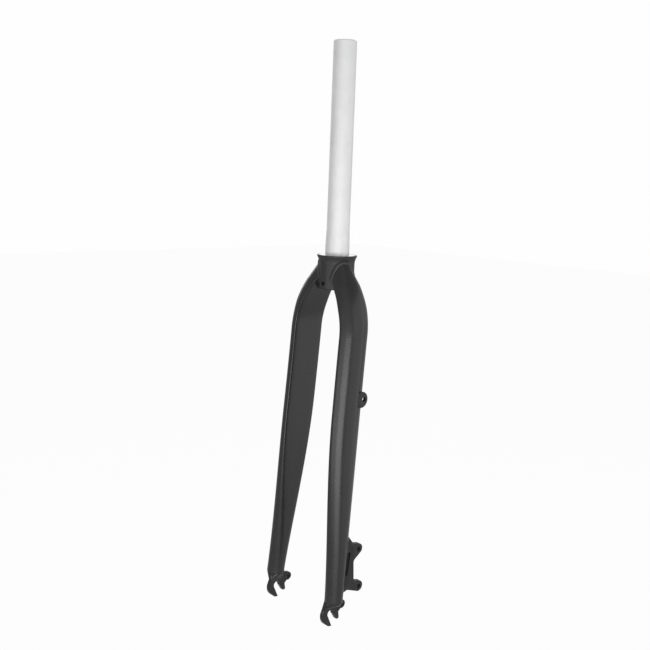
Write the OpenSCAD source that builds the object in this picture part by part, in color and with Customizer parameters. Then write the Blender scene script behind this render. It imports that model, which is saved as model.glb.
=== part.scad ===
// Rigid bicycle fork for disc brakes: a bare steerer tube in a flared crown,
// two curved hollow blades that change from a flat-sided section to round,
// forged hook dropouts, a two-lug brake mount and a hose guide.
// Origin: centre of the crown's top face on the steerer axis. +Z runs up the
// steerer, -Y is the riding direction and +X is the rider's left.

/* [Steerer] */
// Outside diameter of the steerer tube
steerer_d = 28.6; // [25.4:0.1:31.8]
// Wall of the steerer tube
steerer_wall = 2.6; // [1.6:0.1:4]
// Length of the steerer above the crown's top face
steerer_length = 258.7; // [150:1:320]
// Diameter of the steerer's root, which is welded into the crown
steerer_root_d = 29.2; // [28.6:0.1:29.4]
// Diameter of the seat that the lower headset race is pressed on
race_seat_d = 30.1; // [29.8:0.1:33]
// Height of that seat above the crown's top face
race_seat_h = 10; // [6:0.5:14]
// Length of the taper from the seat up to the plain tube
race_taper_h = 24; // [5:1:40]

/* [Crown] */
// Outside diameter of the crown tube
crown_d = 44.6; // [42:0.2:50]
// Diameter of the flared collar at the top of the crown
collar_d = 50; // [46:0.5:56]
// Height of the straight rim of the collar
collar_rim_h = 1.6; // [0.8:0.1:3]
// Height of the hollow flare below the rim
collar_flare_h = 9; // [4:0.5:14]
// Height of the crown
crown_h = 42.5; // [38:0.5:50]
// Wall of the crown tube round its lower hollow
crown_wall = 4; // [3:0.25:6]
// Depth of the bored part that holds the steerer
crown_socket_h = 24; // [16:0.5:26]
// Diameter of the accessory hole through the crown, front to rear
crown_hole_d = 6.6; // [5:0.1:7]
// Height of that hole above the crown's lower edge
crown_hole_up = 8; // [5.5:0.25:10]

/* [Blades] */
// Depth of a blade from front to rear, where it is deepest
blade_depth = 46.6; // [38:0.2:50]
// Depth of a blade at the top of its bend
blade_depth_at_bend = 41; // [36:0.2:44]
// How fast a blade narrows from there up to the crown, per mm of its length
blade_pinch = 0.012; // [0.008:0.001:0.02]
// Thickness of a blade from its inner to its outer side
blade_thick = 17.6; // [15:0.2:20]
// Thickness of a blade where it meets the crown
blade_thick_at_crown = 20.6; // [17:0.2:22]
// Rounding of the edges of the blade's flat inner side
blade_inner_round = 2.4; // [1.5:0.1:5]
// Diameter of the round lower end of a blade
blade_end_d = 23; // [20:0.2:27]
// Wall of a blade
blade_wall = 2.3; // [1.5:0.1:3.5]
// How far a blade's middle line stands outside the middle of its dropout plate
blade_out = 4.1; // [2:0.1:6]
// Depth of the knee below the crown's top face
blade_knee_drop = 97.2; // [90:0.2:110]
// Radius of the bend above the knee
blade_bend_r = 105; // [85:1:125]
// Slope of the blade where it leaves the crown, from the vertical
blade_bend_angle = 35; // [30:0.5:36]
// How far a blade runs outwards between the knee and its lower end
blade_toe_out = 8.2; // [3:0.2:10]
// How late that outward run comes: 1 is even, more is mostly near the lower end
blade_toe_power = 1.8; // [1:0.1:2.4]
// Share of the forward rake that comes as a curve, the rest is a straight lean
blade_rake_bow = 0.18; // [0:0.02:0.6]
// Drop at which a blade begins to taper and turn round
taper_start_drop = 194; // [150:5:240]

/* [Wheel fit] */
// Distance from the crown's top face to the wheel axle, along the steerer
axle_drop = 445.4; // [400:0.5:480]
// Distance from the steerer axis forward to the wheel axle
rake = 40.4; // [30:0.5:55]
// Distance between the inner faces of the dropouts
hub_width = 100; // [90:1:110]
// Diameter of the wheel axle
axle_d = 9; // [8:0.5:10]

/* [Dropouts] */
// Thickness of a dropout plate
dropout_thick = 5; // [4:0.25:7]
// How far the axle sits ahead of the blade's own line
axle_lead = 1.3; // [0:0.1:6]
// Height of the blade's lower end above the axle
blade_end_up = 20; // [17:0.5:26]
// Height of the domed end below the blade, before it flattens into the plate
cap_h = 7; // [4:0.5:9]
// Width of the slot's cut round the axle beyond the axle's own diameter
slot_play = 0.4; // [0.2:0.1:1]
// Diameter of the mudguard eyelet's hole
eyelet_hole_d = 5; // [4:0.5:6]
// Outside radius of the mudguard eyelet
eyelet_r = 5.5; // [4.5:0.25:7]

/* [Disc brake mount] */
// Distance between the two brake bolt holes
brake_pitch = 51; // [45:0.5:74]
// Diameter of the brake bolt holes
brake_hole_d = 6.2; // [5:0.1:7]
// Distance from the axle back to the lower brake hole
brake_back = 46.6; // [44:0.2:50]
// Height of the lower brake hole above the axle
brake_up = 24.3; // [21:0.2:28]
// Lean of the line through the brake holes from the steerer axis
brake_lean = 3.4; // [0:0.2:6]
// Thickness of the brake mount plate
brake_thick = 6.5; // [5:0.25:9]
// Distance from the dropout's inner face out to the plate's inner face
brake_offset = 0.5; // [0:0.25:3]
// Outside radius of the lugs round the brake holes
brake_lug_r = 7; // [5:0.1:8]

/* [Hose guide] */
// Drop of the hose guide's hole below the crown's top face
guide_drop = 174.7; // [140:0.1:260]
// Diameter of the hole in the hose guide
guide_hole_d = 6; // [3:0.1:7]
// Radius of the round tab of the hose guide
guide_r = 10.2; // [8:0.2:14]
// Thickness of the tab
guide_thick = 4.5; // [2.5:0.1:6]

/* [Hidden] */
$fn = 96;

// Thin paint-free gap between pieces that are set together before welding
fit = 0.1;

// Bore of the crown's socket, and the room for the weld under the steerer
socket_r = steerer_root_d / 2 + fit;
weld_room = 2;

// Lower end of the left blade's middle line, and the knee below its bend
blade_end_drop = axle_drop - blade_end_up;
inner_face = hub_width / 2;
end_x = inner_face + dropout_thick / 2 + blade_out;
blade_knee_x = end_x - blade_toe_out;
ring_sides = 32;
bend_rings = 8;
straight_rings = 24;

function smooth(u) = let(t = min(1, max(0, u))) t * t * (3 - 2 * t);
function mix(a, b, t) = a + (b - a) * t;
function signed_pow(v, p) = v < 0 ? -pow(-v, p) : pow(v, p);

// Forward lean of the blade line at a drop below the crown's top face
function lean_y(drop) = let(u = drop / axle_drop)
    -(rake - axle_lead) * ((1 - blade_rake_bow) * u + blade_rake_bow * u * u);

// The section settles from its form at the crown to that of the straight part, over these
// lengths for its depth and its thickness
settle_from = 30;
depth_settle = 36;
thick_settle = 60;

// Section sizes at a drop: how round it is, then its half depth, inner and outer reach
function roundness(drop) = smooth((drop - taper_start_drop) / (axle_drop - taper_start_drop));
function end_round(drop) = roundness(drop) / roundness(blade_end_drop);
function past_crown(drop, length) = smooth((drop - settle_from) / length);
function half_depth(drop) = mix(
    mix(blade_depth_at_bend, blade_depth, past_crown(drop, depth_settle)),
    blade_end_d, end_round(drop)) / 2;
function inner_reach(drop) = mix(blade_inner_round, blade_end_d / 2, end_round(drop));
function outer_reach(drop) = mix(
    mix(blade_thick_at_crown, blade_thick, past_crown(drop, thick_settle)) - blade_inner_round,
    blade_end_d / 2, end_round(drop));

// Exponents of the rounded outline: 2 is an ellipse, more is squarer, less is leaner
ellipse = 2;
inner_square = 5;
front_square_at_crown = 2.8;
front_square = 2.33;
rear_lean = 1.42;
function inner_power(drop) = mix(inner_square, ellipse, end_round(drop));
function front_power(drop) = mix(
    mix(front_square_at_crown, front_square, past_crown(drop, thick_settle)), ellipse, end_round(drop));
function rear_power(drop) = mix(rear_lean, ellipse, end_round(drop));

// One outline point as [depth, thickness] from the section's middle; a is the angle
// from the rear edge, and inset shrinks the outline evenly for the inside of the wall,
// which keeps a least reach of its own where the inner side is flatter than the wall
least_reach = 0.4;
function outline(drop, a, inset) =
    let(h = half_depth(drop) - inset,
        ri = max(least_reach, inner_reach(drop) - inset),
        ro = outer_reach(drop) - inset,
        pi = inner_power(drop),
        po = cos(a) < 0 ? front_power(drop) : rear_power(drop),
        shift = (inner_reach(drop) - outer_reach(drop)) / 2
              + (inset > 0 ? max(0, inset + least_reach - inner_reach(drop)) : 0))
    sin(a) < 0
        ? [h * cos(a), shift - ri * pow(max(0, 1 - pow(abs(cos(a)), pi)), 1 / pi)]
        : [h * signed_pow(cos(a), 2 / po), shift + ro * pow(max(0, sin(a)), 2 / po)];

// Middle line of the blade as [x, drop, slope], from the bend's top to the lower end
function bend_station(k) = let(s = blade_bend_angle * (1 - k / bend_rings))
    [blade_knee_x - blade_bend_r * (1 - cos(s)), blade_knee_drop - blade_bend_r * sin(s), s];
function straight_x(drop) = let(u = (drop - blade_knee_drop) / (blade_end_drop - blade_knee_drop))
    blade_knee_x + blade_toe_out * pow(max(0, u), blade_toe_power);
function straight_station(k) = let(d = mix(blade_knee_drop, blade_end_drop, k / straight_rings))
    [straight_x(d), d, 0];
stations = concat([for (k = [0 : bend_rings - 1]) bend_station(k)],
                  [for (k = [0 : straight_rings]) straight_station(k)]);

// Outside radius of the crown tube at a height: plain below, flared towards the collar
function crown_r(z) = let(u = min(1, max(0, (-z - collar_rim_h) / collar_flare_h)))
    crown_d / 2 + (collar_d - crown_d) / 2 * pow(1 - u, 2);

// A point of the ring at a station, in the fork's own frame
function ring_point(st, a, inset) =
    let(o = outline(st[1], a, inset),
        x = st[0] + o[1] * cos(st[2]),
        z = -st[1] + o[1] * sin(st[2]))
    [x, lean_y(-z) + o[0], z];

// Way up the blade from a point of its first ring: along the bend's top and pinching in
function way_up(p) =
    [-sin(blade_bend_angle), -(p[1] - lean_y(stations[0][1])) * blade_pinch, cos(blade_bend_angle)];

// That point slid along its way until it meets the crown: the mitre, found in a few turns
// because the flare's radius depends on the height that the point ends at
function slide(p, v, r) =
    let(qa = v[0] * v[0] + v[1] * v[1],
        qb = p[0] * v[0] + p[1] * v[1],
        qc = p[0] * p[0] + p[1] * p[1] - r * r)
    p + v * (-qb - sqrt(max(0, qb * qb - qa * qc))) / qa;
function slide_to_crown(p, v, z, turns) =
    let(q = slide(p, v, crown_r(z) + fit)) turns == 0 ? q : slide_to_crown(p, v, q[2], turns - 1);
function mitre_point(a, inset) = let(p = ring_point(stations[0], a, inset))
    slide_to_crown(p, way_up(p), -crown_h / 2, 4);

function blade_ring(k, inset) = [for (i = [0 : ring_sides - 1]) let(a = 360 * i / ring_sides)
    k < 0 ? mitre_point(a, inset) : ring_point(stations[k], a, inset)];

module blade() {
    outer = [for (k = [-1 : len(stations) - 1]) blade_ring(k, 0)];
    inner = [for (k = [-1 : len(stations) - 1]) blade_ring(k, blade_wall)];
    rings = concat(outer, [for (k = [len(inner) - 1 : -1 : 0]) inner[k]]);
    n = ring_sides;
    m = len(rings);
    polyhedron(
        points = [for (r = rings) each r],
        faces = [for (k = [0 : m - 1], i = [0 : n - 1], h = [0, 1])
            let(a = k * n + i, b = k * n + (i + 1) % n,
                c = ((k + 1) % m) * n + (i + 1) % n, d = ((k + 1) % m) * n + i)
            h == 0 ? [a, c, b] : [a, d, c]],
        convexity = 6);
}

// The blade as a filled block between two drops below the knee, a clearance larger all
// round: it cuts the seat of what is welded to the blade's side
module blade_block(from, to) {
    n = ring_sides;
    m = 4;
    rings = [for (k = [0 : m - 1]) let(d = mix(to, from, k / (m - 1)))
        [for (i = [0 : n - 1]) ring_point([straight_x(d), d, 0], 360 * i / n, -fit)]];
    polyhedron(
        points = [for (r = rings) each r],
        faces = concat(
            [[for (i = [n - 1 : -1 : 0]) i], [for (i = [0 : n - 1]) (m - 1) * n + i]],
            [for (k = [0 : m - 2], i = [0 : n - 1], h = [0, 1])
                let(a = k * n + i, b = k * n + (i + 1) % n,
                    c = (k + 1) * n + (i + 1) % n, d = (k + 1) * n + i)
                h == 0 ? [a, b, c] : [a, c, d]]));
}

module left_blade() { color("#3c3c3e") blade(); }
module right_blade() { color("#3c3c3e") mirror([1, 0, 0]) blade(); }

module steerer_tube() {
    bore_r = steerer_d / 2 - steerer_wall;
    seat_r = race_seat_d / 2;
    rim_chamfer = 1;
    bore_chamfer = 0.5;
    color("#c8cacc") rotate_extrude()
        polygon([[bore_r, -crown_socket_h], [steerer_root_d / 2, -crown_socket_h], [steerer_root_d / 2, 0],
                 [seat_r, 0], [seat_r, race_seat_h],
                 [steerer_d / 2, race_seat_h + race_taper_h], [steerer_d / 2, steerer_length - rim_chamfer],
                 [steerer_d / 2 - rim_chamfer, steerer_length], [bore_r + bore_chamfer, steerer_length],
                 [bore_r, steerer_length - bore_chamfer]]);
}

module crown() {
    r = crown_d / 2;
    socket_floor = -crown_socket_h - weld_room;
    flare_steps = 10;
    edge = 0.4;
    foot_chamfer = 1;
    color("#39393b") difference() {
        rotate_extrude() polygon(concat(
            [[socket_r, 0], [collar_d / 2 - edge, 0], [collar_d / 2, -edge]],
            [for (k = [0 : flare_steps])
                let(z = -collar_rim_h - collar_flare_h * k / flare_steps) [crown_r(z), z]],
            [[r, -crown_h + foot_chamfer], [r - foot_chamfer, -crown_h], [r - crown_wall, -crown_h],
             [r - crown_wall, socket_floor], [socket_r, socket_floor]]));
        translate([0, 0, -crown_h + crown_hole_up]) rotate([90, 0, 0])
            cylinder(d = crown_hole_d, h = crown_d + 2, center = true);
    }
}

// Bead of weld round the mitre. Its section at angle a of the blade has its root in the
// corner, a leg on the blade, a rounded and rippled crest, and a leg on the crown tube
weld_leg = 2.8;
weld_steps = 96;
weld_ripples = 44;
weld_crest = 0.75;
weld_ripple_h = 0.2;
weld_shoulder = 0.8;
function mitre_flat(a) = let(p = mitre_point(a, -fit)) [crown_d / 2 * atan2(p[1], p[0]) * PI / 180, p[2]];
function crown_side(a) =
    let(d = mitre_flat(a + 2) - mitre_flat(a - 2),
        q = mitre_flat(a) - [-d[1], d[0]] / norm(d) * weld_leg,
        t = q[0] / (crown_d / 2) * 180 / PI,
        r = crown_r(q[1]) + fit)
    [r * cos(t), r * sin(t), q[1]];
function weld_section(a) =
    let(root = mitre_point(a, -fit),
        on_tube = crown_side(a),
        on_blade = root - way_up(ring_point(stations[0], a, -fit)) * weld_leg,
        middle = (on_tube + on_blade) / 2,
        away = (middle - root) / norm(middle - root),
        crest = weld_crest + weld_ripple_h * cos(weld_ripples * a))
    [root, on_blade, mix(on_blade, middle, 0.5) + away * crest * weld_shoulder, middle + away * crest,
     mix(on_tube, middle, 0.5) + away * crest * weld_shoulder, on_tube];

module crown_weld() {
    rings = [for (k = [0 : weld_steps - 1]) weld_section(360 * k / weld_steps)];
    n = len(rings[0]);
    polyhedron(
        points = [for (r = rings) each r],
        faces = [for (k = [0 : weld_steps - 1], i = [0 : n - 1], h = [0, 1])
            let(k2 = (k + 1) % weld_steps, i2 = (i + 1) % n)
            h == 0 ? [k * n + i, k2 * n + i2, k * n + i2] : [k * n + i, k2 * n + i, k2 * n + i2]],
        convexity = 6);
}

module left_crown_weld() { color("#343436") crown_weld(); }
module right_crown_weld() { color("#343436") mirror([1, 0, 0]) crown_weld(); }

// Ring of weld inside the crown, under the steerer's lower edge, with a sloping face
module steerer_weld() {
    inner_r = steerer_d / 2 - steerer_wall + 0.5;
    outer_r = socket_r - fit;
    toe_r = mix(inner_r, outer_r, 0.4);
    top = -crown_socket_h - fit / 2;
    bottom = -crown_socket_h - weld_room + fit;
    color("#8a8c8e") rotate_extrude()
        polygon([[inner_r, top], [outer_r, top], [outer_r, bottom], [toe_r, bottom + 0.3]]);
}

// Places that the dropouts and the brake mount share
end_y = lean_y(blade_end_drop);
end_bore_r = blade_end_d / 2 - blade_wall;
weld_gap = 3;
spigot_h = 6;
spigot_play = 0.8;
spigot_r = end_bore_r - spigot_play;
cap_top = -blade_end_drop - weld_gap;
slot_r = (axle_d + slot_play) / 2;

// A flat outline drawn as [y, z] and given a thickness outwards from a side face
module side_plate(x, thick) { translate([x, 0, 0]) rotate([90, 0, 90]) linear_extrude(thick) children(); }

// Points of an arc about c from angle a to angle b
function arc(c, r, a, b, steps = 16) =
    [for (k = [0 : steps]) c + r * [cos(mix(a, b, k / steps)), sin(mix(a, b, k / steps))]];

// Points that round the corner q between its neighbours p and s with radius r
function eased(p, q, s, r, steps = 6) =
    let(u = (p - q) / norm(p - q),
        v = (s - q) / norm(s - q),
        half = acos(u * v) / 2,
        c = q + (u + v) / norm(u + v) * r / sin(half),
        from = q + u * r / tan(half) - c,
        to = q + v * r / tan(half) - c,
        a = atan2(from[1], from[0]),
        turn = (atan2(to[1], to[0]) - a + 540) % 360 - 180)
    arc(c, r, a, a + turn, steps);

// Dropout outline as [y, z] from the axle: hook in front, prong behind, slot between them,
// mudguard eyelet at the rear
hook_r = 13.7;
hook_at = [0.7, -1.5];
hook_from = 163;
hook_to = 236;
hook_sole = [-2.6, -16.4];
hook_tip = [3.2, -16.9];
mouth = [6, -12];
prong_r = 2.2;
prong_at = [13, -8.6];
prong_from = -135;
prong_to = 5;
throat = [14, -1.4];
eyelet_at = [19.8, 7];
eyelet_from = -112;
eyelet_to = 96;
heel = [12, 15.4];
neck_front = -6.4;
neck_rear = 12.5;
slot_front_angle = 25;
slot_rear_angle = 33;
slot_rear_from = 8;
function round_at(c, r, a) = c + r * [cos(a), sin(a)];

module dropout_outline() {
    neck_top = cap_top + axle_drop - 1;
    polygon(concat(
        [[neck_front, neck_top]],
        arc(hook_at, hook_r, hook_from, hook_to, 20),
        eased(round_at(hook_at, hook_r, hook_to), hook_sole, hook_tip, 5),
        [hook_tip, mouth],
        arc(prong_at, prong_r, prong_from, prong_to, 10),
        eased(round_at(prong_at, prong_r, prong_to), throat, round_at(eyelet_at, eyelet_r, eyelet_from), 2),
        arc(eyelet_at, eyelet_r, eyelet_from, eyelet_to, 24),
        eased(round_at(eyelet_at, eyelet_r, eyelet_to), heel, [neck_rear, neck_top], 1),
        [[neck_rear, neck_top]]));
}

// Open slot for the axle: round at its root, its rear wall flaring towards the mouth
module axle_slot() {
    reach = 30;
    front = slot_r * [-cos(slot_front_angle), -sin(slot_front_angle)];
    rear = slot_r * [cos(slot_rear_from), -sin(slot_rear_from)];
    circle(r = slot_r);
    polygon([front, front + reach * [sin(slot_front_angle), -cos(slot_front_angle)],
             rear + reach * [sin(slot_rear_angle), -cos(slot_rear_angle)], rear, [0, 0]]);
}

// Round end of the dropout, from the blade's outline down to the flat plate
module flattened_end() {
    blend_low = 8.5;
    blend_front = -9.6;
    blend_rear = 10;
    hull() {
        translate([end_x, end_y, cap_top]) rotate_extrude($fn = 48)
            polygon(concat([[0, 0]], arc_down(blade_end_d / 2, cap_h, 8)));
        translate([inner_face + fit, blend_front - rake, blend_low - axle_drop])
            cube([dropout_thick - 2 * fit, blend_rear - blend_front, 1]);
    }
}

// Quarter of an ellipse from its side down to its lowest point
function arc_down(r, h, steps) = [for (k = [0 : steps]) let(a = 90 * k / steps) [r * cos(a), -h * sin(a)]];

module dropout() {
    lead = 1;
    side_plate(inner_face, dropout_thick) translate([-rake, -axle_drop]) difference() {
        dropout_outline();
        axle_slot();
        translate(eyelet_at) circle(d = eyelet_hole_d);
    }
    flattened_end();
    translate([end_x, end_y, cap_top]) rotate_extrude() polygon([
        [0, spigot_h + weld_gap], [spigot_r - lead, spigot_h + weld_gap],
        [spigot_r, spigot_h + weld_gap - lead], [spigot_r, weld_gap - fit],
        [end_bore_r - fit, weld_gap - fit], [end_bore_r - fit, -1], [0, -1]]);
}

module left_dropout() { color("#3a3a3c") dropout(); }
module right_dropout() { color("#3a3a3c") mirror([1, 0, 0]) dropout(); }

// Weld between the blade's lower end and the dropout's cap, ground flush
module dropout_weld() {
    translate([end_x, end_y, cap_top + fit / 2]) rotate_extrude()
        translate([end_bore_r, 0]) square([blade_wall, weld_gap - fit]);
}
module left_dropout_weld() { color("#3c3c3e") dropout_weld(); }
module right_dropout_weld() { color("#3c3c3e") mirror([1, 0, 0]) dropout_weld(); }

// Disc brake mount: a plate with two lugs, set on the left blade's rear edge
lower_hole = [brake_back - rake, brake_up - axle_drop];
upper_hole = lower_hole + brake_pitch * [-sin(brake_lean), cos(brake_lean)];
foot_length = 20;
lug_top_angle = 79;
lug_under_angle = -42;
lug_bottom_angle = -100;
function blade_rear(drop) = [lean_y(drop) + half_depth(drop) + fit, -drop];
function seat_line(from, to) = [for (k = [0 : 4]) blade_rear(mix(from, to, k / 4))];
function on_lug(hole, a) = hole + brake_lug_r * [cos(a), sin(a)];

module brake_outline() {
    upper_foot = seat_line(-upper_hole[1] - 1.4, -upper_hole[1] - foot_length);
    lower_foot = seat_line(-lower_hole[1] + 3, -lower_hole[1] - foot_length);
    above = upper_hole + [-9.2, 9.3];
    waist_top = upper_hole + [-7.7, -13.8];
    waist_low = lower_hole + [-9.1, 9.2];
    heel = lower_hole + [-20.5, 0.4];
    window_low = lower_hole + [-21.1, foot_length];
    window_top = upper_hole + [-13.7, -0.8];
    polygon(concat(
        upper_foot,
        eased(upper_foot[4], above, on_lug(upper_hole, lug_top_angle), 6),
        arc(upper_hole, brake_lug_r, lug_top_angle, lug_under_angle),
        eased(on_lug(upper_hole, lug_under_angle), waist_top, waist_low, 5),
        eased(waist_top, waist_low, on_lug(lower_hole, lug_top_angle), 5),
        arc(lower_hole, brake_lug_r, lug_top_angle, lug_bottom_angle),
        eased(on_lug(lower_hole, lug_bottom_angle), heel, lower_foot[0], 5),
        lower_foot,
        eased(lower_foot[4], window_low, window_top, 2),
        eased(window_low, window_top, upper_foot[0], 2)));
}

module brake_mount() {
    color("#38383a") side_plate(inner_face + brake_offset, brake_thick) difference() {
        brake_outline();
        translate(upper_hole) circle(d = brake_hole_d);
        translate(lower_hole) circle(d = brake_hole_d);
    }
}

// Rear surface of the left blade at a drop, as y at the place x across it
function rear_surface(drop, x) =
    let(shift = (inner_reach(drop) - outer_reach(drop)) / 2,
        t = x - straight_x(drop) - shift,
        reach = t < 0 ? inner_reach(drop) : outer_reach(drop),
        power = t < 0 ? inner_power(drop) : rear_power(drop))
    lean_y(drop) + half_depth(drop) * pow(max(0, 1 - pow(abs(t) / reach, power)), 1 / power);

// Bead in the corner between the blade's rear and a plate face at x, on the face's side:
// -1 is towards the wheel, 1 is outwards. Its section is root, blade leg, crest, plate leg
bead_crest = 0.5;
bead_gap = 0.25;
function bead_ring(x, side, drop, leg) =
    let(root = [x, rear_surface(drop, x) + bead_gap],
        on_blade = [x + side * leg, rear_surface(drop, x + side * leg) + bead_gap],
        on_plate = root + [0, leg],
        away = (on_blade + on_plate) / 2 - root,
        crest = root + away * (1 + bead_crest / norm(away)))
    [for (q = side < 0 ? [root, on_blade, crest, on_plate] : [root, on_plate, crest, on_blade])
        [q[0], q[1], -drop]];
module plate_bead(face_x, side, from, to, leg) {
    steps = 6;
    n = 4;
    rings = [for (k = [0 : steps]) bead_ring(face_x + side * fit / 2, side, mix(from, to, k / steps), leg)];
    polyhedron(
        points = [for (r = rings) each r],
        faces = concat(
            [[0, 1, 2, 3], [for (i = [n - 1 : -1 : 0]) steps * n + i]],
            [for (k = [0 : steps - 1], i = [0 : n - 1], h = [0, 1])
                let(a = k * n + i, b = k * n + (i + 1) % n,
                    c = (k + 1) * n + (i + 1) % n, d = (k + 1) * n + i)
                h == 0 ? [a, c, b] : [a, d, c]]));
}

// Beads on both sides of the brake mount's two feet
mount_bead_leg = 2.4;
module brake_mount_weld() {
    color("#343436") for (side = [-1, 1], hole = [upper_hole, lower_hole]) {
        face = inner_face + brake_offset + (side > 0 ? brake_thick : 0);
        plate_bead(face, side, -hole[1] - foot_length + 1, -hole[1] - 1, mount_bead_leg);
    }
}

// Hose guide: a round tab with a hole, welded to the left blade's rear outer side
guide_out = 3.6;
guide_x = blade_knee_x + guide_out;
guide_hole_y = 1.7;
guide_round_y = -2.45;
module hose_guide() {
    color("#38383a") difference() {
        side_plate(guide_x, guide_thick) difference() {
            translate([guide_round_y, -guide_drop]) circle(r = guide_r);
            translate([guide_hole_y, -guide_drop]) circle(d = guide_hole_d);
        }
        blade_block(guide_drop - guide_r - 2, guide_drop + guide_r + 2);
    }
}

// Bead on the hose guide's inner side
guide_bead_leg = 1.6;
module hose_guide_weld() {
    half = guide_r * 0.7;
    color("#343436") plate_bead(guide_x, -1, guide_drop - half, guide_drop + half, guide_bead_leg);
}

steerer_tube();
crown();
left_blade();
right_blade();
left_dropout();
right_dropout();
brake_mount();
hose_guide();
steerer_weld();
left_crown_weld();
right_crown_weld();
left_dropout_weld();
right_dropout_weld();
brake_mount_weld();
hose_guide_weld();
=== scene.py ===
from math import cos, pi, radians, sin

import bmesh
import bpy
import numpy as np
from mathutils import Matrix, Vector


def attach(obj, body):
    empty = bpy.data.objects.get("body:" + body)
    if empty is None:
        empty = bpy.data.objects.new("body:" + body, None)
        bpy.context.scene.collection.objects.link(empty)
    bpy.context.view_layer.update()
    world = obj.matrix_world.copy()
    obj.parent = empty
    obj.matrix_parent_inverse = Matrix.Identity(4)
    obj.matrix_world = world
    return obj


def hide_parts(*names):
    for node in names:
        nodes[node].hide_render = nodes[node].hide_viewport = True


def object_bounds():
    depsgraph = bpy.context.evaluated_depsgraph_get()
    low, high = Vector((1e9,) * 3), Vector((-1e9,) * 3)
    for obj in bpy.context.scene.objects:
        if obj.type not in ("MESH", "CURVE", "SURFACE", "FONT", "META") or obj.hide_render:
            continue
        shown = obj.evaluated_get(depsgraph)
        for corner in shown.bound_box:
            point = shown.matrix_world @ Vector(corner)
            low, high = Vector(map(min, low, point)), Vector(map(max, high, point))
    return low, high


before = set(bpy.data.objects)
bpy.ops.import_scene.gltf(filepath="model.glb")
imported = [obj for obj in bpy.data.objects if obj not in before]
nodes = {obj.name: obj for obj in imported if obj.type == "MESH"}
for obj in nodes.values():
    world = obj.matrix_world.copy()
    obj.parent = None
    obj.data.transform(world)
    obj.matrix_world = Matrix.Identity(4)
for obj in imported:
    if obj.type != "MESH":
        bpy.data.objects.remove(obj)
cad_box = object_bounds()

# Camera: stands ahead of the fork on its disc side, a little above the crown, with the
# slight roll of the picture. Its place and lens follow from the fork's known sizes.
camera_data = bpy.data.cameras.new("camera")
camera_data.sensor_width = 36.0
camera_data.lens = 50.23
camera = bpy.data.objects.new("camera", camera_data)
bpy.context.scene.collection.objects.link(camera)
camera_place = (0.81903, -0.78563, 0.09300)
camera_bearing = radians(46.793)
camera_elevation = radians(9.138)
camera_roll = radians(2.137)
camera.matrix_world = (Matrix.Translation(camera_place)
                       @ Matrix.Rotation(camera_bearing, 4, "Z")
                       @ Matrix.Rotation(pi / 2 - camera_elevation, 4, "X")
                       @ Matrix.Rotation(camera_roll, 4, "Z"))
bpy.context.scene.camera = camera
bpy.context.scene.view_settings.view_transform = "Standard"


# Studio: a plain pale floor well below the hanging fork, and a pale surround. The camera sees
# both as white, the metal sees them dimmer, and the floor keeps a faint shadow.
def node_adder(tree):
    """A short way to add a shader node, set its values and link what feeds it. Inputs go by
    their names, or by their numbers on nodes whose inputs share a name."""
    def add(kind, inputs=None, **settings):
        node = tree.nodes.new("ShaderNode" + kind)
        for key, value in settings.items():
            setattr(node, key, value)
        for key, value in (inputs or {}).items():
            if isinstance(value, bpy.types.NodeSocket):
                tree.links.new(value, node.inputs[key])
            else:
                node.inputs[key].default_value = value
        return node
    return add


def new_material(name):
    """An empty node material, the way to add nodes to it, its tree and its output."""
    material = bpy.data.materials.new(name)
    material.use_nodes = True
    tree = material.node_tree
    tree.nodes.clear()
    return material, node_adder(tree), tree, tree.nodes.new("ShaderNodeOutputMaterial")


def whiteness(add, to_camera, to_gloss):
    """How white a ray finds the background: to_camera for a ray from the camera or through
    glass, to_gloss for one off a glossy surface, and nothing for light that only falls on it."""
    path = add("LightPath")
    straight = add("Math", {0: path.outputs["Is Camera Ray"], 1: path.outputs["Is Transmission Ray"]},
                   operation="MAXIMUM").outputs[0]
    seen = add("Math", {0: straight, 1: to_camera}, operation="MULTIPLY").outputs[0]
    gloss = add("Math", {0: path.outputs["Is Glossy Ray"], 1: to_gloss}, operation="MULTIPLY").outputs[0]
    return add("Math", {0: seen, 1: gloss}, operation="MAXIMUM").outputs[0]


floor_z = cad_box[0][2] - 0.40
floor_reach = 9
floor_corners = [(x, y, floor_z) for x, y in ((-floor_reach, -floor_reach), (floor_reach, -floor_reach),
                                              (floor_reach, floor_reach), (-floor_reach, floor_reach))]
floor_mesh = bpy.data.meshes.new("floor")
floor_mesh.from_pydata(floor_corners, [], [(0, 1, 2, 3)])
floor = bpy.data.objects.new("floor", floor_mesh)
bpy.context.scene.collection.objects.link(floor)
floor_material, add, tree, output = new_material("studio floor")
paper = add("BsdfDiffuse", {"Color": (0.72, 0.72, 0.72, 1)})
glow = add("Emission", {"Color": (1, 1, 1, 1), "Strength": 1.0})
mixed = add("MixShader", {0: whiteness(add, 0.96, 0.1), 1: paper.outputs[0], 2: glow.outputs[0]})
tree.links.new(mixed.outputs[0], output.inputs["Surface"])
floor_mesh.materials.append(floor_material)

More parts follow.
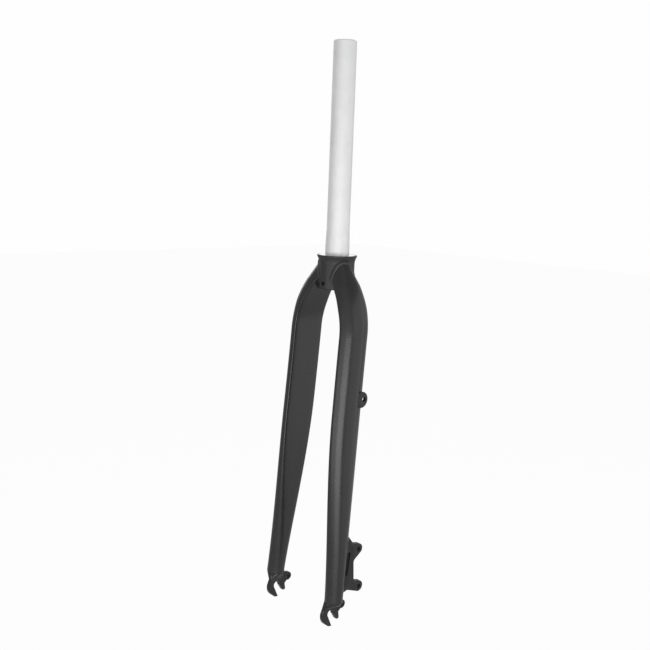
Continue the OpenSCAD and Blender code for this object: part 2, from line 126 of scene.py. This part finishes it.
# The surround is lighter low in front on the disc side, and grows dim away from there.
open_bearing = radians(38)
open_dip = 0.5
open_side = (sin(open_bearing), -cos(open_bearing), -open_dip)
world = bpy.data.worlds.new("studio")
bpy.context.scene.world = world
world.use_nodes = True
world.node_tree.nodes.clear()
add = node_adder(world.node_tree)
facing = add("VectorMath", {0: add("TexCoord").outputs["Generated"], 1: open_side},
             operation="DOT_PRODUCT").outputs["Value"]
level = add("MapRange", {"Value": facing, "From Min": -0.1, "From Max": 0.8, "To Min": 0.31, "To Max": 0.74},
            interpolation_type="SMOOTHSTEP").outputs[0]
surround = add("Background", {"Color": (1, 1, 1, 1), "Strength": level})
backdrop = add("Background", {"Color": (1, 1, 1, 1), "Strength": 1.0})
mixed = add("MixShader", {0: whiteness(add, 0.985, 0.15), 1: surround.outputs[0], 2: backdrop.outputs[0]})
world.node_tree.links.new(mixed.outputs[0], add("OutputWorld").inputs["Surface"])


def softbox(name, bearing, elevation, distance, size, power, middle_z):
    """An area lamp at a distance from the steerer axis's point at the height middle_z, facing
    that point. Bearing 0 is in front of the fork and 90 on its disc side, and the size is the
    lamp's width and height."""
    data = bpy.data.lights.new(name, "AREA")
    data.shape = "RECTANGLE"
    data.size, data.size_y = size
    data.energy = power
    lamp = bpy.data.objects.new(name, data)
    bpy.context.scene.collection.objects.link(lamp)
    lamp.visible_camera = False
    lamp.matrix_world = (Matrix.Translation((0, 0, middle_z))
                         @ Matrix.Rotation(radians(bearing), 4, "Z")
                         @ Matrix.Rotation(radians(90 - elevation), 4, "X")
                         @ Matrix.Translation((0, 0, distance)))


softbox("key", bearing=55, elevation=0, distance=1.25, size=(1.17, 0.42), power=6.0, middle_z=-0.39)
softbox("front", bearing=2, elevation=0, distance=1.25, size=(1.39, 0.42), power=3.3, middle_z=-0.39)
softbox("fill", bearing=130, elevation=8, distance=1.7, size=(2.4, 1.7), power=8.2, middle_z=-0.25)
softbox("top", bearing=40, elevation=80, distance=2.0, size=(1.2, 1.2), power=1.5, middle_z=-0.2)
softbox("left", bearing=-110, elevation=0, distance=1.5, size=(1.6, 0.4), power=3.2, middle_z=0.3)
softbox("back", bearing=222, elevation=38, distance=1.8, size=(2.0, 1.0), power=8.0, middle_z=-0.1)


# Steerer: a bare drawn aluminium tube, set in the crown's socket and welded inside it. Above
# the crown it is turned, with a seat for the headset's crown race and a taper over the seat.
# The rest keeps the dull, mottled skin of drawing.
turned_from, turned_to = 0.0355, 0.0335
bare, add, tree, output = new_material("bare aluminium")
place = add("TexCoord").outputs["Object"]
height = add("SeparateXYZ", {0: place}).outputs["Z"]
turned = add("MapRange", {"Value": height, "From Min": turned_from, "From Max": turned_to}).outputs[0]
stretched = add("Mapping", {"Vector": place, "Scale": (1, 1, 0.06)}).outputs[0]
streaks = add("TexNoise", {"Vector": stretched, "Scale": 900.0, "Detail": 3.0}).outputs["Fac"]
blotches = add("TexNoise", {"Vector": place, "Scale": 55.0, "Detail": 4.0, "Roughness": 0.6}).outputs["Fac"]
rings = add("TexWave", {"Vector": place, "Scale": 900.0, "Distortion": 0.3},
            bands_direction="Z").outputs["Fac"]
skin = add("Mix", {0: 0.35, 2: blotches, 3: streaks}).outputs[0]
relief = add("Mix", {0: turned, 2: skin, 3: rings}).outputs[0]
tone = add("MapRange", {"Value": skin, "From Min": 0.35, "From Max": 0.65}).outputs[0]
colour = add("Mix", {0: tone, 6: (0.83, 0.835, 0.83, 1), 7: (0.89, 0.895, 0.89, 1)}, data_type="RGBA")
rough = add("MapRange", {"Value": relief, "From Min": 0.3, "From Max": 0.7, "To Min": 0.66, "To Max": 0.74})
bump = add("Bump", {"Height": relief, "Strength": 0.06, "Distance": 0.0002})
metal = add("BsdfPrincipled", {"Base Color": colour.outputs[2], "Metallic": 1.0,
                               "Roughness": rough.outputs[0], "Normal": bump.outputs[0]})
tree.links.new(metal.outputs[0], output.inputs["Surface"])
for name in ("steerer_tube", "steerer_weld"):
    nodes[name].data.materials.clear()
    nodes[name].data.materials.append(bare)


# Crown: a short aluminium tube with a flared collar, turned from bar, bored for the steerer
# and drilled through from front to rear. Its edges were broken with a file before painting,
# and its top face was machined bare after it.
def satin_black(name, gloss=0.26, shine=0.5, bare_above=None, bare_within=0.0):
    """The coat of the whole welded fork: near-black with a fine bump. gloss is its roughness,
    which patches of noise raise a little, and shine is its specular level. Higher than
    bare_above and nearer the axis than bare_within it is cut away to machined aluminium."""
    material, add, tree, output = new_material(name)
    place = add("TexCoord").outputs["Object"]
    grain = add("TexNoise", {"Vector": place, "Scale": 2600.0, "Detail": 2.0}).outputs["Fac"]
    patches = add("TexNoise", {"Vector": place, "Scale": 28.0, "Detail": 5.0,
                               "Roughness": 0.55}).outputs["Fac"]
    colour = add("Mix", {0: patches, 6: (0.013, 0.013, 0.0135, 1), 7: (0.020, 0.020, 0.0205, 1)},
                 data_type="RGBA").outputs[2]
    rough = add("MapRange", {"Value": patches, "From Min": 0.3, "From Max": 0.7,
                             "To Min": gloss, "To Max": gloss + 0.03}).outputs[0]
    bump = add("Bump", {"Height": grain, "Strength": 0.12, "Distance": 0.0001}).outputs[0]
    surface = add("BsdfPrincipled", {"Base Color": colour, "Roughness": rough,
                                     "Specular IOR Level": shine, "Normal": bump}).outputs[0]
    if bare_above is not None:
        height = add("SeparateXYZ", {0: place}).outputs["Z"]
        above = add("Math", {0: height, 1: bare_above}, operation="GREATER_THAN").outputs[0]
        flat_place = add("VectorMath", {0: place, 1: (1, 1, 0)}, operation="MULTIPLY").outputs[0]
        radius = add("VectorMath", {0: flat_place}, operation="LENGTH").outputs["Value"]
        within = add("Math", {0: radius, 1: bare_within}, operation="LESS_THAN").outputs[0]
        cut = add("Math", {0: above, 1: within}, operation="MULTIPLY").outputs[0]
        lathe = add("BsdfPrincipled", {"Base Color": (0.55, 0.55, 0.55, 1), "Metallic": 1.0,
                                       "Roughness": 0.35})
        surface = add("MixShader", {0: cut, 1: surface, 2: lathe.outputs[0]}).outputs[0]
    tree.links.new(surface, output.inputs["Surface"])
    return material


def eased_copy(node, width, material):
    """Copy of a CAD node with its loose triangles merged, flat areas made whole and every
    edge sharper than 35 degrees rounded to the given width."""
    merge_within, flat_within, sharp = 2e-6, radians(0.4), radians(35)
    mesh = nodes[node].data.copy()
    mesh.name = node + "_eased"
    work = bmesh.new()
    work.from_mesh(mesh)
    bmesh.ops.remove_doubles(work, verts=work.verts, dist=merge_within)
    bmesh.ops.dissolve_limit(work, angle_limit=flat_within, verts=work.verts, edges=work.edges)
    work.to_mesh(mesh)
    work.free()
    mesh.materials.clear()
    mesh.materials.append(material)
    mesh.shade_smooth()
    piece = bpy.data.objects.new(node + "_eased", mesh)
    bpy.context.scene.collection.objects.link(piece)
    bevel = piece.modifiers.new("broken edges", "BEVEL")
    bevel.width = width
    bevel.segments = 3
    bevel.limit_method = "ANGLE"
    bevel.angle_limit = sharp
    bevel.harden_normals = True
    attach(piece, "root")
    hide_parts(node)


crown_paint = satin_black("crown finish", gloss=0.42, bare_above=-0.00025, bare_within=0.0228)
eased_copy("crown", 0.0003, crown_paint)

# Blades: two hollow aluminium tubes, drawn, pressed flat on the inside and lean towards the
# rear, bent over at the top and swaged to a round end. Each is mitred to the crown tube.
MM = 0.001

# Sizes in millimetres and powers of the outline. A drop is measured down from the crown's top
# face, and the settling sizes are how far below the bend the section takes its full form.
crown_radius, collar_radius, collar_rim, collar_flare = 22.3, 25.0, 1.6, 9.0
blade_depth, depth_at_bend, thickness, thickness_at_crown = 46.6, 41.0, 17.6, 20.6
inner_round, least_round, wall, joint_gap = 2.4, 0.4, 2.3, 0.1
settle_start, settle_depth, settle_thickness = 30, 36, 60
inner_power, front_power_at_crown, front_power, rear_power, circle_power = 5.0, 2.8, 2.33, 1.42, 2.0
knee_x, knee_drop, bend_radius, bend_angle, pinch = 48.4, 97.2, 105.0, radians(35), 0.012
axle_drop, rake, axle_lead, rake_bow = 445.4, 40.4, 1.3, 0.18
taper_start, end_up, end_diameter, toe_out, toe_power = 194.0, 20.0, 23.0, 8.2, 1.8
end_drop = axle_drop - end_up


def smooth(u):
    """Share from 0 to 1 that starts and ends gently: three u squared less two u cubed."""
    t = np.clip(u, 0, 1)
    return t * t * (3 - 2 * t)


def mix(a, b, t):
    """The value that lies the share t of the way from a to b."""
    return a + (b - a) * t


def forward(drop):
    """Y of the blade's middle line: a forward lean that grows with the drop, and a bow that
    grows with its square."""
    u = drop / axle_drop
    return -(rake - axle_lead) * ((1 - rake_bow) * u + rake_bow * u * u)


def section(drop, angle, inset):
    """Outline of the blade at a drop, as depth and thickness from its middle line, drawn in
    by inset. Each quarter is a superellipse, whose depth and thickness shares raised to its
    power add up to one: squarish on the flat inner side, full in front and lean behind. All
    turn to a plain circle towards the lower end."""
    roundness = smooth((drop - taper_start) / (axle_drop - taper_start))
    roundness = roundness / smooth((end_drop - taper_start) / (axle_drop - taper_start))
    below_bend = smooth((drop - settle_start) / settle_depth)
    below_crown = smooth((drop - settle_start) / settle_thickness)
    full_depth = mix(mix(depth_at_bend, blade_depth, below_bend), end_diameter, roundness)
    full_thickness = mix(thickness_at_crown, thickness, below_crown)
    inner = mix(inner_round, end_diameter / 2, roundness)
    outer = mix(full_thickness - inner_round, end_diameter / 2, roundness)
    centre = (inner - outer) / 2 + np.maximum(0, inset + least_round - inner) * (inset > 0)
    half = full_depth / 2 - inset
    inner = np.maximum(least_round, inner - inset)
    outer = outer - inset
    to_rear = np.cos(angle)
    to_outside = np.maximum(np.sin(angle), 0)
    flat = mix(inner_power, circle_power, roundness)
    front = mix(mix(front_power_at_crown, front_power, below_crown), circle_power, roundness)
    power = np.where(to_rear < 0, front, mix(rear_power, circle_power, roundness))
    inside = np.sin(angle) < 0
    depth = np.where(inside, half * to_rear, half * np.sign(to_rear) * np.abs(to_rear) ** (2 / power))
    inner_face = centre - inner * np.maximum(0, 1 - np.abs(to_rear) ** flat) ** (1 / flat)
    return depth, np.where(inside, inner_face, centre + outer * to_outside ** (2 / power))


def crown_profile(z):
    """Radius of the crown's outside at a height: a plain tube that flares to the collar with
    the square of the way up."""
    u = np.clip((-z - collar_rim) / collar_flare, 0, 1)
    return crown_radius + (collar_radius - crown_radius) * (1 - u) ** 2


def blade_rings(x, drop, slope, angle, inset):
    """Rings of the blade round its middle line, each turned by the line's slope in the plane
    of X and Z, and each point moved forward by the lean at its own height."""
    x, drop, slope = (np.asarray(v, float)[:, None] for v in (x, drop, slope))
    depth, across = section(drop, angle[None, :], inset)
    z = -drop + across * np.sin(slope)
    return np.stack([x + across * np.cos(slope), forward(-z) + depth, z], -1)


bend_top_x = knee_x - bend_radius * (1 - cos(bend_angle))
bend_top_drop = knee_drop - bend_radius * sin(bend_angle)


def top_ring(angle, inset):
    """First ring of the blade, at the top of its bend."""
    return blade_rings([bend_top_x], [bend_top_drop], [bend_angle], angle, inset)[0]


def way_up(ring):
    """Direction in which each point of the top ring runs on to the crown: up along the bend's
    end, and towards the ring's middle by a share, pinch, of its distance from it."""
    middle = forward(bend_top_drop)
    return np.stack([np.full(len(ring), -sin(bend_angle)), -(ring[:, 1] - middle) * pinch,
                     np.full(len(ring), cos(bend_angle))], -1)


def mitre(angle, inset):
    """Where the blade's outline meets the crown: the top ring slid along its way until its
    radius is the crown's at that height. A quadratic gives the slide for a plain tube, and a
    few rounds of it settle on the flared collar's radius."""
    first_height, rounds = -21.0, 6
    ring = top_ring(angle, inset)
    way = way_up(ring)
    z = np.full(len(ring), first_height)
    for _ in range(rounds):
        radius = crown_profile(z) + joint_gap
        a = (way[:, :2] ** 2).sum(1)
        b = (ring[:, :2] * way[:, :2]).sum(1)
        c = (ring[:, :2] ** 2).sum(1) - radius ** 2
        met = ring + way * ((-b - np.sqrt(np.maximum(0, b * b - a * c))) / a)[:, None]
        z = met[:, 2]
    return met


def tube_mesh(name, rings, side, material):
    """Closed mesh through rings, in millimetres, the last of which joins on to the first.
    side is 1 for the left, and -1 for the mirrored right, whose faces turn the other way."""
    count, sides, _ = rings.shape
    points = rings.reshape(-1, 3) * np.array([side, 1, 1]) * MM
    ring, corner = np.meshgrid(np.arange(count), np.arange(sides), indexing="ij")
    next_ring, next_corner = (ring + 1) % count, (corner + 1) % sides
    faces = np.stack([ring * sides + corner, ring * sides + next_corner,
                      next_ring * sides + next_corner, next_ring * sides + corner], -1)
    mesh = bpy.data.meshes.new(name)
    mesh.from_pydata(points.tolist(), [], faces.reshape(-1, 4)[:, ::side].tolist())
    mesh.shade_smooth()
    mesh.set_sharp_from_angle(angle=radians(50))
    mesh.materials.append(material)
    piece = bpy.data.objects.new(name, mesh)
    bpy.context.scene.collection.objects.link(piece)
    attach(piece, "root")
    return piece


run_up_rings, bend_rings, leg_rings, corners = 8, 48, 130, 144
edge_bunching = 0.3  # draws the corners together at the front and rear edges
bend = bend_angle * np.linspace(1, 0, bend_rings + 1)[:-1]
drops = np.linspace(knee_drop, end_drop, leg_rings)
leg_share = (drops - knee_drop) / (end_drop - knee_drop)
line_x = np.concatenate([knee_x - bend_radius * (1 - np.cos(bend)),
                         knee_x + toe_out * leg_share ** toe_power])
line_drop = np.concatenate([knee_drop - bend_radius * np.sin(bend), drops])
line_slope = np.concatenate([bend, np.zeros(leg_rings)])
turn = np.linspace(0, 2 * pi, corners + 1)[:-1]
around = turn - edge_bunching * np.sin(2 * turn)
run_up = np.linspace(0, 1, run_up_rings + 1)[:-1, None, None]


def blade_surface(inset):
    """One surface of the tube, drawn in by inset: even steps from the mitre to the bend's
    top ring, and then the rings of the bend and the leg."""
    rings = blade_rings(line_x, line_drop, line_slope, around, inset)
    return np.concatenate([mix(mitre(around, inset), rings[0], run_up), rings])


blade_paint = satin_black("blade finish")
blade_shell = np.concatenate([blade_surface(0.0), blade_surface(wall)[::-1]])
for side, name in ((1, "left_blade"), (-1, "right_blade")):
    blade = tube_mesh(name + "_skin", blade_shell, side, blade_paint)
    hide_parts(name)


# Crown welds: a bead of filler rod round each mitre, one leg on the blade and one on the
# crown, each drop overlapping the last. They are under the same black coat.
def bead(roots, blade_toe, tube_toe, pitch, crest, ripple):
    """Bead whose section runs from one toe to the other and back through its roots. Between
    the toes it rises by a power of the sine of the way across. A cosine of the way along adds
    the drops, one each pitch, whose edges curve back like scales with the square of the
    distance from the bead's middle."""
    across_steps, scale_curve, crest_power, ripple_power = 13, 0.45, 0.7, 0.5
    root = sum(roots) / len(roots)
    along = np.cumsum(np.linalg.norm(np.roll(root, -1, 0) - root, axis=1))
    drops = max(1, round(along[-1] / pitch))
    phase = np.concatenate([[0], along[:-1]])[:, None] / along[-1] * drops
    v = np.linspace(0, 1, across_steps)[None, :]
    scale = 0.5 + 0.5 * np.cos(2 * pi * (phase - scale_curve * (2 * v - 1) ** 2))
    away = (blade_toe + tube_toe) / 2 - root
    away = away / np.linalg.norm(away, axis=1)[:, None]
    rise = np.sin(pi * v) ** crest_power * crest + np.sin(pi * v) ** ripple_power * ripple * scale
    line = mix(blade_toe[:, None], tube_toe[:, None], v[..., None])
    return np.concatenate([np.stack(roots, 1), line + away[:, None] * rise[..., None]], 1)


# The leg on the crown is laid off square to the mitre on the tube's unrolled surface, where
# X is the turn times the radius and Y the height.
weld_leg, weld_steps, direction_reach = 2.8, 1200, 8
round_mitre = np.linspace(0, 2 * pi, weld_steps + 1)[:-1]
outline = mitre(round_mitre, -joint_gap)
down = -way_up(top_ring(round_mitre, -joint_gap))
outline_turn = np.unwrap(np.arctan2(outline[:, 1], outline[:, 0]))
unrolled = np.stack([crown_radius * outline_turn, outline[:, 2]], -1)
run = np.roll(unrolled, -direction_reach, 0) - np.roll(unrolled, direction_reach, 0)
run = run / np.linalg.norm(run, axis=1)[:, None]
toe_place = unrolled - np.stack([-run[:, 1], run[:, 0]], -1) * weld_leg
toe_radius = crown_profile(toe_place[:, 1]) + joint_gap
toe_turn = toe_place[:, 0] / crown_radius
tube_toe = np.stack([toe_radius * np.cos(toe_turn), toe_radius * np.sin(toe_turn), toe_place[:, 1]], -1)
crown_bead = bead([outline], outline + down * weld_leg, tube_toe, pitch=2.0, crest=0.75, ripple=0.3)
weld_paint = satin_black("weld finish")
for side, name in ((1, "left_crown_weld"), (-1, "right_crown_weld")):
    weld = tube_mesh(name + "_bead", crown_bead, side, weld_paint)
    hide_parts(name)

# Dropouts: forged aluminium hooks, open below, that drop onto the hub's axle. Each has an
# eyelet and a domed end that plugs its blade, and a ring of weld, ground nearly flush, joins
# the two.
ring_width, ring_steps = 3.0, 720
end_x, end_y = knee_x + toe_out, forward(end_drop)
end_radius, bore_radius = end_diameter / 2, end_diameter / 2 - wall


def end_ring(radius, z):
    """Circle of a radius round the blade's lower end, at the height z."""
    turn = np.linspace(0, 2 * pi, ring_steps + 1)[:-1]
    return np.stack([end_x + radius * np.cos(turn), end_y + radius * np.sin(turn),
                     np.full(ring_steps, z)], -1)


ring_top = -end_drop - joint_gap / 2
ring_bottom = -end_drop - ring_width + joint_gap / 2
end_bead = bead([end_ring(bore_radius, ring_bottom), end_ring(bore_radius, ring_top)],
                end_ring(end_radius, ring_top), end_ring(end_radius, ring_bottom),
                pitch=2.2, crest=0.06, ripple=0.05)
for side, name in ((1, "left_dropout_weld"), (-1, "right_dropout_weld")):
    weld = tube_mesh(name + "_bead", end_bead, side, weld_paint)
    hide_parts(name)
fitting_paint = satin_black("fitting finish", gloss=0.16, shine=0.36)
for name in ("left_dropout", "right_dropout"):
    eased_copy(name, 0.0013, fitting_paint)

# Brake mount: a machined aluminium plate with two drilled lugs for a disc caliper. Its two
# feet stand on the left blade's rear edge, with a bead on each side of each foot, and between
# the feet it is open to the blade.
eased_copy("brake_mount", 0.0007, fitting_paint)
nodes["brake_mount_weld"].data.materials.clear()
nodes["brake_mount_weld"].data.materials.append(weld_paint)

# Hose guide: a small aluminium tab with a hole for the tie that holds the brake hose. It is
# cut to the outline of the left blade's rear edge, and one bead on its inner side holds it.
eased_copy("hose_guide", 0.0005, fitting_paint)
nodes["hose_guide_weld"].data.materials.clear()
nodes["hose_guide_weld"].data.materials.append(weld_paint)
